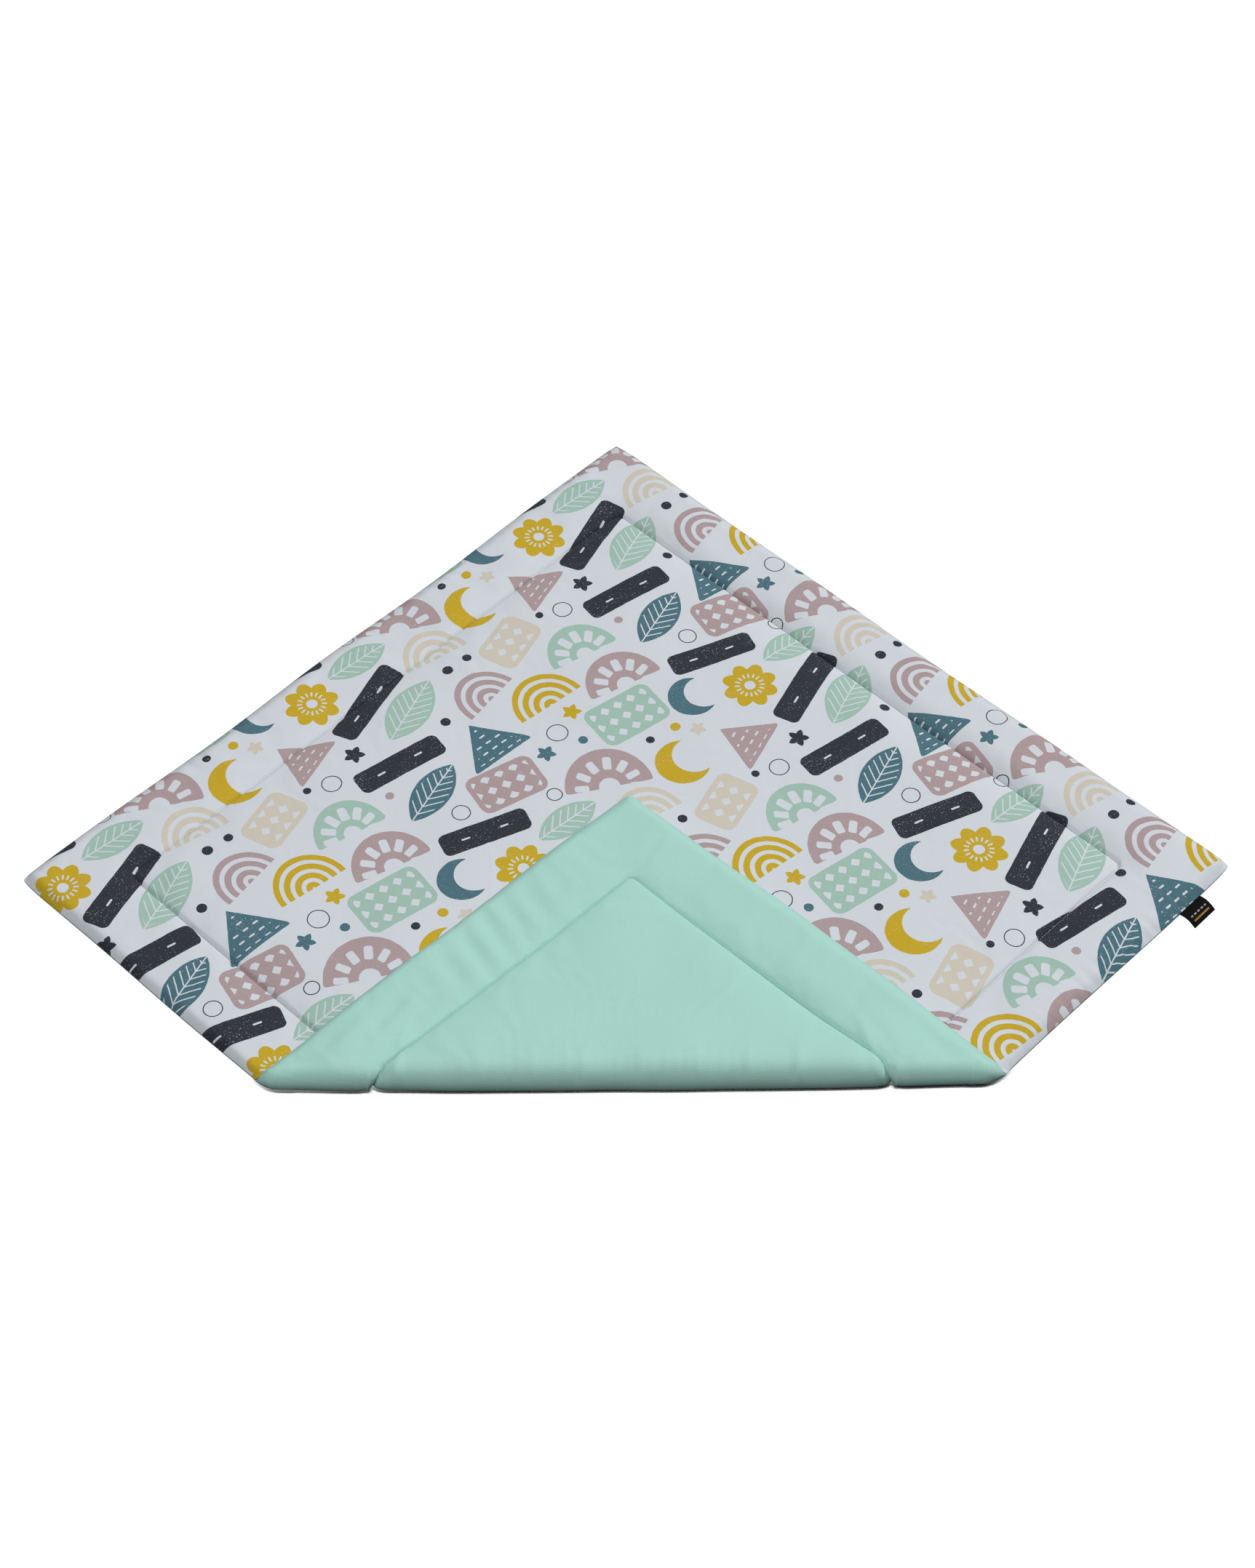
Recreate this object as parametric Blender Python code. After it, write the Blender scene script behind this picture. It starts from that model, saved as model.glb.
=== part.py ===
"""A square padded floor mat lying flat with its front corner folded over its top.

Metres, +Z up. The mat's sides run along X and Y, and the origin is the middle of the mat on the
surface that it lies on. Two cloth panels, each with its half of the padding, meet at the mat's
edge and are sewn through along a square seam inside it. The corner at -X -Y is folded over, so
that the plain panel shows there. A folded woven tag stands out of the edge at -Y.
"""

import math

import bmesh
import bpy
from mathutils import Vector

# The flat mat
MAT_SIDE = 1.10
SEAM_INSET = 0.100
EDGE_TOP = 0.0085
EDGE_BOTTOM = 0.0055
SEAM_TOP = 0.0070
SEAM_BOTTOM = 0.0030
BORDER_CROWN = 0.0190
MIDDLE_CROWN = 0.0220
EDGE_RISE = 0.026
BORDER_RISE = 0.040
MIDDLE_RISE = 0.062
CREASE_RISE = 0.0050
CREASE_SHARE = 0.35
EDGE_UNDERCUT = 0.024
SEAM_UNDERCUT = 0.013
PANEL_GAP = 0.0003

# How deep each side's seam is drawn in, and how full its border is
SIDES = {
    "left": {"dip": 0.55, "fullness": 0.96},
    "right": {"dip": 1.08, "fullness": 1.12},
    "front": {"dip": 0.50, "fullness": 1.00},
    "back": {"dip": 0.70, "fullness": 1.00},
}
SIDE_BLEND = 0.080
FLAP_DIP = {"low": -0.16, "high": 0.32, "starts": 0.08, "grows": 0.30}

# The fold
FOLD_DISTANCE = 0.3155
FOLD_TURN = math.radians(-0.3)
ARC_MIDDLE = 0.0370
ARC_TAPER = 0.066
ARC_ROUND = 0.050
FOLD_GAP = 0.0080
FLAP_GAP = 0.0015
GAP_CLOSES = 0.090
FLAP_LIFT = 0.50

# Distances of the mesh's lines from the mat's edge, and past the fold's first line
BORDER_LINES = (0.004, 0.012, 0.026, 0.044, 0.064, 0.083, 0.095, 0.100)
MIDDLE_LINES = (0.105, 0.117, 0.135, 0.162)
MIDDLE_CELLS = 6
FOLD_LINES = (0.0, 0.0025, 0.0050, 0.0080, 0.0120, 0.0165, 0.0210, 0.0255, 0.0300, 0.0345, 0.0370)
LINE_SNAP = 0.0004

# Slow waves of the padding's height, a row for each: height, length, direction, start
LUMPS = (
    {"height": 0.0007, "length": 0.31, "direction": 0.35, "start": 0.8},
    {"height": 0.0006, "length": 0.19, "direction": 1.90, "start": 2.1},
    {"height": 0.0004, "length": 0.12, "direction": 2.70, "start": 4.0},
)

# Waves of the outline, a row for each side: depth, length, start, and how far the side is drawn in
SIDE_WAVES = {
    "left": {"depth": 0.0012, "length": 0.37, "start": 0.5, "drawn_in": 0.0025},
    "right": {"depth": 0.0010, "length": 0.41, "start": 2.2, "drawn_in": 0.0025},
    "front": {"depth": 0.0035, "length": 0.90, "start": 0.35, "drawn_in": 0.0},
    "back": {"depth": 0.0022, "length": 0.42, "start": 5.1, "drawn_in": 0.0030},
}
WAVE_FADES = 0.070
FLAP_BULGE = {"depth": 0.0055, "middle": -0.38, "spread": 0.14}
CORNER_PULL = {"depth": 0.0030, "reach": 0.012}

# The woven tag, folded over at its outer end
TAG_MIDDLE = 0.4625
TAG_WIDTH = 0.041
TAG_REACH = 0.0255
TAG_PLY = 0.0008
TAG_PLY_GAP = 0.0006
TAG_ROOT_HEIGHT = 0.0070
TAG_ARCH = 0.0020
TAG_DROP = 0.0052
TAG_STEPS = 8
TAG_TURN_STEPS = 4

# Cloth colours, linear
PRINT_GROUND = (0.640, 0.672, 0.700, 1.0)
PLAIN_MINT = (0.390, 0.640, 0.565, 1.0)
TAG_BLACK = (0.012, 0.012, 0.013, 1.0)

HALF = MAT_SIDE / 2
DIAGONAL = math.sqrt(0.5)
FOLD_FOOT = Vector((-DIAGONAL, -DIAGONAL, 0.0)) * FOLD_DISTANCE
TO_RIGHT = Vector((DIAGONAL, -DIAGONAL, 0.0))
TO_BACK = Vector((DIAGONAL, DIAGONAL, 0.0))
ALONG_FOLD = TO_RIGHT * math.cos(FOLD_TURN) + TO_BACK * math.sin(FOLD_TURN)
PAST_FOLD = TO_RIGHT * math.sin(FOLD_TURN) - TO_BACK * math.cos(FOLD_TURN)


def clear_scene():
    for thing in list(bpy.data.objects):
        bpy.data.objects.remove(thing, do_unlink=True)


def ease(value):
    """A smooth step from 0 to 1."""
    value = min(max(value, 0.0), 1.0)
    return value * value * (3.0 - 2.0 * value)


def dome(share):
    """A padded rise, steepest at its foot and level where share is 1."""
    away = 1.0 - min(max(share, 0.0), 1.0)
    return 1.0 - away * away


def beside_seam(distance, rise):
    """Share of the padding's height beside a seam: a tight crease, then a long low dome."""
    crease = math.sqrt(dome(distance / CREASE_RISE))
    return CREASE_SHARE * crease + (1.0 - CREASE_SHARE) * dome(distance / rise)


def edge_distance(x, y):
    return max(min(HALF - abs(x), HALF - abs(y)), 0.0)


def lump(x, y):
    total = 0.0
    for wave in LUMPS:
        across = x * math.cos(wave["direction"]) + y * math.sin(wave["direction"])
        total += wave["height"] * math.sin(math.tau * across / wave["length"] + wave["start"])
    return total


def side_distances(x, y):
    return {"left": HALF + x, "right": HALF - x, "front": HALF + y, "back": HALF - y}


def side_value(x, y, key):
    """A value that differs from side to side, blended between them."""
    total = 0.0
    weights = 0.0
    for name, distance in side_distances(x, y).items():
        weight = math.exp(-distance / SIDE_BLEND)
        total += weight * SIDES[name][key]
        weights += weight
    return total / weights


def seam_dip(x, y):
    """How deep the seam is drawn in: on the folded corner more along the front side."""
    turned = ease(fold_coordinates(x, y)[1] / SEAM_INSET)
    front_side = ease(1.0 + (x - y) / SEAM_INSET) * ease(2.5 - (HALF + y) / SEAM_INSET)
    from_corner = ease((HALF + x - FLAP_DIP["starts"]) / FLAP_DIP["grows"])
    deeper = FLAP_DIP["low"] + (FLAP_DIP["high"] - FLAP_DIP["low"]) * from_corner
    return side_value(x, y, "dip") + deeper * turned * front_side


def pad_top(x, y):
    """Height of the printed face where the mat lies flat."""
    to_side = HALF - abs(x)
    to_end = HALF - abs(y)
    edge = edge_distance(x, y)
    dip = seam_dip(x, y)
    if edge < SEAM_INSET:
        rim = EDGE_TOP + (SEAM_TOP - EDGE_TOP) * edge / SEAM_INSET
        from_seam = math.hypot(max(SEAM_INSET - to_side, 0.0), max(SEAM_INSET - to_end, 0.0))
        rise = dome(to_side / EDGE_RISE) * dome(to_end / EDGE_RISE)
        rise *= 1.0 - dip * (1.0 - beside_seam(from_seam, BORDER_RISE))
        return rim + (BORDER_CROWN * side_value(x, y, "fullness") - rim + lump(x, y)) * rise
    rise = beside_seam(to_side - SEAM_INSET, MIDDLE_RISE) * beside_seam(to_end - SEAM_INSET, MIDDLE_RISE)
    return SEAM_TOP + (MIDDLE_CROWN - SEAM_TOP + lump(x, y)) * (1.0 - dip * (1.0 - rise))


def pad_bottom(x, y):
    """Height of the plain face where the mat lies flat: drawn up at the edge and the seam."""
    edge = edge_distance(x, y)
    at_edge = max(1.0 - edge / EDGE_UNDERCUT, 0.0) ** 2
    at_seam = max(1.0 - abs(edge - SEAM_INSET) / SEAM_UNDERCUT, 0.0) ** 2
    return EDGE_BOTTOM * at_edge + SEAM_BOTTOM * at_seam


def envelope(x, y):
    """Height that a second layer rests at: the printed face with its seam bridged over."""
    edge = edge_distance(x, y)
    if edge < SEAM_INSET / 2:
        return pad_top(x, y)
    reach = SEAM_INSET / 2 + MIDDLE_RISE
    low = BORDER_CROWN * side_value(x, y, "fullness")
    return low + lump(x, y) + (MIDDLE_CROWN - low) * ease((edge - SEAM_INSET / 2) / reach)


def fold_coordinates(x, y):
    """Distance along the fold from the mat's diagonal, and distance past its first line."""
    offset = Vector((x, y, 0.0)) - FOLD_FOOT
    return offset.dot(ALONG_FOLD), offset.dot(PAST_FOLD)


def from_fold(along, past):
    return FOLD_FOOT + ALONG_FOLD * along + PAST_FOLD * past


def fold_arc(along):
    """Length of cloth that goes round the fold: most in its padded middle, least at its ends."""
    return ARC_MIDDLE - ARC_TAPER * (math.hypot(along, ARC_ROUND) - ARC_ROUND)


def flap_inner(along, past):
    """Height of the printed face on the folded flap, at a distance past the fold's last line."""
    below = from_fold(along, -past)
    cloth = from_fold(along, fold_arc(along) + past)
    thick = min((pad_top(cloth.x, cloth.y) - pad_bottom(cloth.x, cloth.y)) / MIDDLE_CROWN, 1.0)
    gap = FLAP_GAP + (FOLD_GAP - FLAP_GAP) * thick * (1.0 - ease(past / GAP_CLOSES))
    return envelope(below.x, below.y) + gap + FLAP_LIFT * pad_bottom(cloth.x, cloth.y)


def side_shift(x, y):
    """How far the outline draws in or waves at a point of the flat cloth."""
    corner = math.hypot(HALF - abs(x), HALF - abs(y))
    pull = CORNER_PULL["depth"] * math.exp(-corner / CORNER_PULL["reach"])
    shift = Vector((-math.copysign(pull, x), -math.copysign(pull, y), 0.0))
    sides = (
        ("left", HALF + x, y, Vector((1.0, 0.0, 0.0))),
        ("right", HALF - x, y, Vector((-1.0, 0.0, 0.0))),
        ("front", HALF + y, x, Vector((0.0, 1.0, 0.0))),
        ("back", HALF - y, x, Vector((0.0, -1.0, 0.0))),
    )
    for name, distance, run, inward in sides:
        row = SIDE_WAVES[name]
        bow = 1.0 - (run / HALF) ** 2
        wave = row["depth"] * math.sin(math.tau * run / row["length"] + row["start"])
        depth = (row["drawn_in"] + wave) * bow
        if name == "left":
            past = (run - FLAP_BULGE["middle"]) / FLAP_BULGE["spread"]
            depth -= FLAP_BULGE["depth"] * math.exp(-past * past)
        shift += inward * depth * math.exp(-distance / WAVE_FADES)
    return shift


def place(x, y, share):
    """Where a point of the flat cloth goes: share 0 is the printed face, 1 the plain face."""
    thickness = pad_top(x, y) - pad_bottom(x, y)
    along, past = fold_coordinates(x, y)
    shift = side_shift(x, y)
    if past <= 0.0:
        return Vector((x, y, pad_top(x, y) - share * thickness)) + shift
    arc = fold_arc(along)
    mirrored = shift - PAST_FOLD * 2.0 * shift.dot(PAST_FOLD)
    if past >= arc:
        height = flap_inner(along, past - arc) + share * thickness
        return from_fold(along, arc - past) + mirrored + Vector((0.0, 0.0, height))
    first = from_fold(along, 0.0)
    start = pad_top(first.x, first.y)
    end = flap_inner(along, 0.0)
    angle = math.pi * past / arc
    radius = (end - start) / 2 + share * thickness
    height = (end + start) / 2 - radius * math.cos(angle)
    around = shift.lerp(mirrored, past / arc)
    return from_fold(along, radius * math.sin(angle)) + around + Vector((0.0, 0.0, height))


def mesh_lines():
    """Places of the grid's lines from one side of the mat to the other."""
    near = [-HALF] + [distance - HALF for distance in BORDER_LINES + MIDDLE_LINES]
    width = -2.0 * near[-1]
    middle = [near[-1] + width * step / MIDDLE_CELLS for step in range(1, MIDDLE_CELLS)]
    return near + middle + [-line for line in reversed(near)]


def cut(bm, point, normal):
    geometry = bm.verts[:] + bm.edges[:] + bm.faces[:]
    bmesh.ops.bisect_plane(bm, geom=geometry, dist=LINE_SNAP, plane_co=point, plane_no=normal)


def flat_cloth():
    """The flat cloth as triangles, with lines at its edge, seam, mitres and fold."""
    lines = mesh_lines()
    cells = len(lines) - 1
    bm = bmesh.new()
    bmesh.ops.create_grid(bm, x_segments=cells, y_segments=cells, size=HALF)
    for vert in bm.verts:
        column = round((vert.co.x / HALF + 1.0) / 2 * cells)
        row = round((vert.co.y / HALF + 1.0) / 2 * cells)
        vert.co = (lines[column], lines[row], 0.0)
    cut(bm, (0.0, 0.0, 0.0), TO_RIGHT)
    cut(bm, (0.0, 0.0, 0.0), TO_BACK)
    for distance in FOLD_LINES:
        cut(bm, from_fold(0.0, distance), PAST_FOLD)
    bmesh.ops.triangulate(bm, faces=bm.faces[:])
    return bm


def cloth_material(name, colour, roughness):
    material = bpy.data.materials.new(name)
    material.use_nodes = True
    shader = material.node_tree.nodes["Principled BSDF"]
    shader.inputs["Base Color"].default_value = colour
    shader.inputs["Roughness"].default_value = roughness
    shader.inputs["Metallic"].default_value = 0.0
    return material


def add_object(name, bm, material):
    mesh = bpy.data.meshes.new(name)
    bmesh.ops.recalc_face_normals(bm, faces=bm.faces[:])
    bm.to_mesh(mesh)
    bm.free()
    mesh.materials.append(material)
    thing = bpy.data.objects.new(name, mesh)
    bpy.context.scene.collection.objects.link(thing)
    return thing


def build_panel(name, upper_face, material):
    """One panel with its half of the padding, from its outer face to the mat's middle layer."""
    bm = flat_cloth()
    outer = bm.verts[:]
    grown = bmesh.ops.extrude_face_region(bm, geom=bm.faces[:], use_keep_orig=True)
    inner = {item for item in grown["geom"] if isinstance(item, bmesh.types.BMVert)}
    for vert in outer + list(inner):
        x, y = vert.co.x, vert.co.y
        thickness = pad_top(x, y) - pad_bottom(x, y)
        half_gap = PANEL_GAP / 2 / thickness
        if vert in inner:
            share = 0.5 - half_gap if upper_face else 0.5 + half_gap
        else:
            share = 0.0 if upper_face else 1.0
        vert.co = place(x, y, share)
    panel = add_object(name, bm, material)
    panel.data.shade_smooth()
    return panel


def tag_centre(reach):
    """Height of the tag's middle at a share of its reach: up a little, then down."""
    return TAG_ROOT_HEIGHT + TAG_ARCH * math.sin(math.pi * reach) - TAG_DROP * reach ** 2


def tag_side(offset):
    """Points (reach, height) along the folded ribbon, at a distance out from its middle."""
    straight = TAG_REACH - TAG_PLY_GAP / 2 - TAG_PLY
    shares = [step / TAG_STEPS for step in range(TAG_STEPS + 1)]
    upper = [(share * straight, tag_centre(share) + offset) for share in shares]
    turn = []
    for step in range(1, TAG_TURN_STEPS):
        angle = math.pi / 2 - math.pi * step / TAG_TURN_STEPS
        reach = straight + offset * math.cos(angle)
        turn.append((reach, tag_centre(1.0) + offset * math.sin(angle)))
    lower = [(share * straight, tag_centre(share) - offset) for share in reversed(shares)]
    return upper + turn + lower


def build_tag(material):
    """A woven ribbon folded in two, its ends against the mat's edge."""
    bm = bmesh.new()
    left = TAG_MIDDLE - TAG_WIDTH / 2
    root = min(place(left + TAG_WIDTH * step / 2, -HALF, 0.5).y for step in range(3)) - PANEL_GAP
    outline = tag_side(TAG_PLY_GAP / 2 + TAG_PLY) + tag_side(TAG_PLY_GAP / 2)[::-1]
    corners = [bm.verts.new((left, root - reach, height)) for reach, height in outline]
    section = bm.faces.new(corners)
    grown = bmesh.ops.extrude_face_region(bm, geom=[section], use_keep_orig=True)
    moved = [item for item in grown["geom"] if isinstance(item, bmesh.types.BMVert)]
    bmesh.ops.translate(bm, verts=moved, vec=(TAG_WIDTH, 0.0, 0.0))
    bmesh.ops.triangulate(bm, faces=bm.faces[:])
    return add_object("side_tag", bm, material)


def main():
    clear_scene()
    build_panel("printed_panel", True, cloth_material("printed cotton", PRINT_GROUND, 0.85))
    build_panel("plain_panel", False, cloth_material("mint cotton", PLAIN_MINT, 0.88))
    build_tag(cloth_material("woven tag", TAG_BLACK, 0.70))


main()
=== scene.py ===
import math
from functools import partial

import bmesh
import bpy
import numpy as np
from mathutils import Matrix, Vector


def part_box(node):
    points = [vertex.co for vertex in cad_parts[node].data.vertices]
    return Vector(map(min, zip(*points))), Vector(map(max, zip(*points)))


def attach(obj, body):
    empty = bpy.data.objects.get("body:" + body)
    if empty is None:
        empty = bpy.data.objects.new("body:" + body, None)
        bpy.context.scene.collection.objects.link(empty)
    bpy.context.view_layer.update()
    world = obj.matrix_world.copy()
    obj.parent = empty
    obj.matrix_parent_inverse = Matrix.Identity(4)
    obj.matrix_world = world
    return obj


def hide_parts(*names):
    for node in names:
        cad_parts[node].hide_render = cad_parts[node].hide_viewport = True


# A padded floor mat for a play tent, lying flat with its front corner folded over.
# Metres, +Z up. The mat's sides run along X and Y, and the folded corner is at -X -Y.

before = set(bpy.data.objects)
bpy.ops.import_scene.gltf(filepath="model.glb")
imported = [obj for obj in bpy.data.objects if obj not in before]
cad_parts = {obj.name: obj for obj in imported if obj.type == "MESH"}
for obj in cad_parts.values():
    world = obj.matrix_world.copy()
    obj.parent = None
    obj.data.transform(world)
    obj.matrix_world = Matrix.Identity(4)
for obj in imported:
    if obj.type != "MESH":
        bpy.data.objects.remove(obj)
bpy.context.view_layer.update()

tagLow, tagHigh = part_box("side_tag")


def rowsOf(names, *rows):
    # a dictionary for each row, with the names of its values written once
    return [dict(zip(names.split(), row)) for row in rows]


# Mat's own shape

mat = {
    "side": 1.10,
    "seamInset": 0.100,
    "edgeTop": 0.0085,
    "edgeBottom": 0.0055,
    "seamTop": 0.0070,
    "seamBottom": 0.0030,
    "borderCrown": 0.0190,
    "middleCrown": 0.0220,
    "borderRise": 0.040,
    "middleRise": 0.062,
    "creaseRise": 0.0050,
    "creaseShare": 0.35,
    "cornerRound": 0.012,
    "notchDepth": 0.0013,
    "notchWidth": 0.0016,
    "sides": {
        "left": {"dip": 0.55, "fullness": 0.96, "rise": 0.014},
        "right": {"dip": 1.08, "fullness": 1.12, "rise": 0.020},
        "front": {"dip": 0.50, "fullness": 1.00, "rise": 0.020},
        "back": {"dip": 0.70, "fullness": 1.00, "rise": 0.020},
    },
    "sideBlend": 0.080,
    "flapDip": {"low": -0.16, "high": 0.32, "starts": 0.08, "grows": 0.30, "reach": 2.5},
    "edgeUndercut": 0.024,
    "seamUndercut": 0.013,
    "panelGap": 0.0003,
    "lumps": rowsOf(
        "height length direction start",
        (0.0007, 0.31, 0.35, 0.8),
        (0.0006, 0.19, 1.90, 2.1),
        (0.0004, 0.12, 2.70, 4.0),
    ),
    "sideWaves": {
        "left": {"depth": 0.0012, "length": 0.37, "start": 0.5, "drawnIn": 0.0025},
        "right": {"depth": 0.0010, "length": 0.41, "start": 2.2, "drawnIn": 0.0025},
        "front": {"depth": 0.0035, "length": 0.90, "start": 0.35, "drawnIn": 0.0},
        "back": {"depth": 0.0022, "length": 0.42, "start": 5.1, "drawnIn": 0.0030},
    },
    "sideWaveFades": 0.070,
    "flapBulge": {"depth": 0.0055, "middle": -0.38, "spread": 0.14},
    "cornerPull": {"depth": 0.0030, "reach": 0.012, "onFlap": 0.25},
}

half = mat["side"] / 2
sameFace = 0.01  # shares closer than this are on one face of a panel

fold = {
    "distance": 0.3155,
    "turn": math.radians(-0.3),
    "arcMiddle": 0.0345,
    "arcTaper": 0.066,
    "arcRound": 0.050,
    "arcLeast": 0.001,
    "gap": 0.0080,
    "flapGap": 0.0015,
    "gapCloses": 0.090,
    "gapOpens": 0.060,
    "lift": 0.50,
    "liftsOff": 0.008,
}

toRight = np.array([math.sqrt(0.5), -math.sqrt(0.5)])
toBack = np.array([math.sqrt(0.5), math.sqrt(0.5)])
alongFold = toRight * math.cos(fold["turn"]) + toBack * math.sin(fold["turn"])
pastFold = toRight * math.sin(fold["turn"]) - toBack * math.cos(fold["turn"])
foldFoot = -toBack * fold["distance"]


def ease(value):
    value = np.clip(value, 0.0, 1.0)
    return value * value * (3.0 - 2.0 * value)


def dome(share):
    # a padded rise, steepest at its foot and level where share is 1
    return 1.0 - (1.0 - np.clip(share, 0.0, 1.0)) ** 2


def besideSeam(distance, rise):
    # a tight crease at the seam itself, then a long low dome
    crease = np.sqrt(dome(distance / mat["creaseRise"]))
    return mat["creaseShare"] * crease + (1.0 - mat["creaseShare"]) * dome(distance / rise)


def lump(x, y):
    total = np.zeros_like(x)
    for wave in mat["lumps"]:
        across = x * math.cos(wave["direction"]) + y * math.sin(wave["direction"])
        total = total + wave["height"] * np.sin(math.tau * across / wave["length"] + wave["start"])
    return total


def edgeDistance(x, y):
    return np.maximum(np.minimum(half - np.abs(x), half - np.abs(y)), 0.0)


def seamDistance(x, y):
    # distance inward from the seam, a square with rounded corners, and below 0 outside it
    bend = mat["cornerRound"]
    toSide, toEnd = half - np.abs(x) - mat["seamInset"], half - np.abs(y) - mat["seamInset"]
    rounded = bend - np.hypot(np.maximum(bend - toSide, 0.0), np.maximum(bend - toEnd, 0.0))
    straight = np.minimum(toSide, toEnd)
    return np.where(straight > bend, straight, rounded)


def sideDistances(x, y):
    return {"left": half + x, "right": half - x, "front": half + y, "back": half - y}


def sideValue(x, y, key):
    # a value that differs from side to side, blended between them
    total, weights = 0.0, 0.0
    for name, distance in sideDistances(x, y).items():
        weight = np.exp(-distance / mat["sideBlend"])
        total = total + weight * mat["sides"][name][key]
        weights = weights + weight
    return total / weights


def seamDip(x, y):
    # the folded corner's seam along the front side is drawn in deeper than the rest of that side
    turned = ease(foldCoordinates(x, y)[1] / mat["seamInset"])
    deep = mat["flapDip"]
    frontSide = ease(1.0 + (x - y) / mat["seamInset"])
    frontSide = frontSide * ease(deep["reach"] - (half + y) / mat["seamInset"])
    grown = ease((half + x - deep["starts"]) / deep["grows"])
    deeper = deep["low"] + (deep["high"] - deep["low"]) * grown
    return sideValue(x, y, "dip") + deeper * turned * frontSide


def padTop(x, y):
    inset, rise = mat["seamInset"], sideValue(x, y, "rise")
    toSide, toEnd = half - np.abs(x), half - np.abs(y)
    seam = seamDistance(x, y)
    edge = np.maximum(np.minimum(toSide, toEnd), 0.0)
    rim = mat["edgeTop"] + (mat["seamTop"] - mat["edgeTop"]) * edge / inset
    dip = seamDip(x, y)
    tube = dome(toSide / rise) * dome(toEnd / rise)
    tube = tube * (1.0 - dip * (1.0 - besideSeam(-seam, mat["borderRise"])))
    outer = rim + (mat["borderCrown"] * sideValue(x, y, "fullness") - rim + lump(x, y)) * tube
    inward = besideSeam(seam, mat["middleRise"])
    inward = inward * besideSeam(np.maximum(toSide, toEnd) - inset, mat["middleRise"])
    crown = mat["middleCrown"] - mat["seamTop"] + lump(x, y)
    inner = mat["seamTop"] + crown * (1.0 - dip * (1.0 - inward))
    notch = mat["notchDepth"] * np.exp(-(seam / mat["notchWidth"]) ** 2)
    return np.where(seam < 0.0, outer, inner) - notch


def padBottom(x, y):
    edge = edgeDistance(x, y)
    atEdge = np.maximum(1.0 - edge / mat["edgeUndercut"], 0.0) ** 2
    atSeam = np.maximum(1.0 - np.abs(seamDistance(x, y)) / mat["seamUndercut"], 0.0) ** 2
    return mat["edgeBottom"] * atEdge + mat["seamBottom"] * atSeam


def restingHeight(x, y):
    # where the flap lies: the printed face, with its seam bridged over
    edge = edgeDistance(x, y)
    middle = mat["seamInset"] / 2
    low = mat["borderCrown"] * sideValue(x, y, "fullness")
    inward = ease((edge - middle) / (middle + mat["middleRise"]))
    bridge = low + lump(x, y) + (mat["middleCrown"] - low) * inward
    return np.where(edge < middle, padTop(x, y), bridge)


def foldCoordinates(x, y):
    dx, dy = x - foldFoot[0], y - foldFoot[1]
    return dx * alongFold[0] + dy * alongFold[1], dx * pastFold[0] + dy * pastFold[1]


def fromFold(along, past):
    x = foldFoot[0] + along * alongFold[0] + past * pastFold[0]
    y = foldFoot[1] + along * alongFold[1] + past * pastFold[1]
    return x, y


def foldArc(along):
    taper = fold["arcTaper"] * (np.hypot(along, fold["arcRound"]) - fold["arcRound"])
    return np.maximum(fold["arcMiddle"] - taper, fold["arcLeast"])


def flapInner(along, past):
    belowX, belowY = fromFold(along, -past)
    clothX, clothY = fromFold(along, foldArc(along) + past)
    thick = np.minimum((padTop(clothX, clothY) - padBottom(clothX, clothY)) / mat["middleCrown"], 1.0)
    thick = thick * ease(edgeDistance(clothX, clothY) / fold["gapOpens"])
    closing = 1.0 - ease(past / fold["gapCloses"])
    gap = fold["flapGap"] + (fold["gap"] - fold["flapGap"]) * thick * closing
    return restingHeight(belowX, belowY) + gap + fold["lift"] * padBottom(clothX, clothY)


def sideShift(x, y):
    corner = np.hypot(half - np.abs(x), half - np.abs(y))
    pull = mat["cornerPull"]["depth"] * np.exp(-corner / mat["cornerPull"]["reach"])
    turned = ease(foldCoordinates(x, y)[1] / mat["seamInset"])
    pull = pull * (1.0 - (1.0 - mat["cornerPull"]["onFlap"]) * turned)
    shiftX = -np.sign(x) * pull
    shiftY = -np.sign(y) * pull
    sides = {
        "left": (half + x, y, 1.0, 0.0),
        "right": (half - x, y, -1.0, 0.0),
        "front": (half + y, x, 0.0, 1.0),
        "back": (half - y, x, 0.0, -1.0),
    }
    for name, (distance, run, inX, inY) in sides.items():
        row = mat["sideWaves"][name]
        wave = row["depth"] * np.sin(math.tau * run / row["length"] + row["start"])
        depth = (row["drawnIn"] + wave) * (1.0 - (run / half) ** 2)
        depth = depth * np.exp(-np.maximum(distance, 0.0) / mat["sideWaveFades"])
        shiftX = shiftX + inX * depth
        shiftY = shiftY + inY * depth
    bulge = mat["flapBulge"]
    outward = bulge["depth"] * np.exp(-((y - bulge["middle"]) / bulge["spread"]) ** 2)
    shiftX = shiftX - outward * np.exp(-np.maximum(half + x, 0.0) / mat["sideWaveFades"])
    return shiftX, shiftY


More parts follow.
